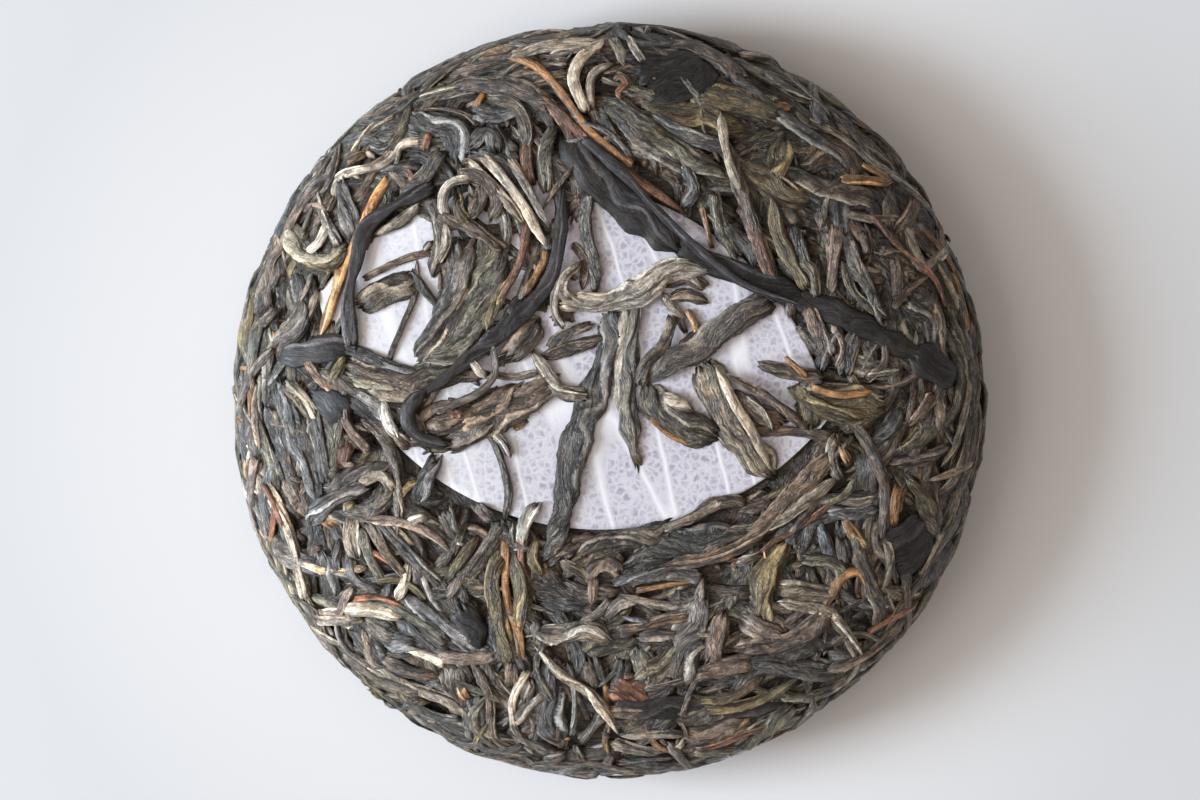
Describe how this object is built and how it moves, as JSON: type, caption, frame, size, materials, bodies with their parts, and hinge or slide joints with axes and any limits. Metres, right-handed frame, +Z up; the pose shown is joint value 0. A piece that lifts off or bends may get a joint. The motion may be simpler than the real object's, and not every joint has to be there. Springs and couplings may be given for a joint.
{
  "type": "pressed raw tea cake",
  "caption": "Small round cake of pressed raw tea leaves with a sunken leaf-shaped paper tag, resting flat on its base.",
  "frame": {"origin": "centre of the cake's outline in plan, on the plane the cake rests on", "axes": "+Z up along the cake's axis, out of the face that carries the tag; +X towards the tag's lower tip; +Y completes a right-handed frame"},
  "size_m": [0.1039, 0.104, 0.0204],
  "materials": {
    "pressed_leaf": "matte to satin, wrinkled dry leaf, charcoal grey",
    "olive_leaf": "matte, wrinkled dry leaf, grey olive",
    "brown_leaf": "matte, wrinkled dry leaf, red brown",
    "pale_bud": "matte, downy silver buds and pale leaf backs",
    "dry_stalk": "satin, straw-coloured ribbed stalk",
    "tag_paper": "matte thin fibre paper, veined, lilac white"
  },
  "bodies": {
    "root": {"tea_cake": "pressed_leaf", "paper_tag": "tag_paper"}
  },
  "joints": []
}
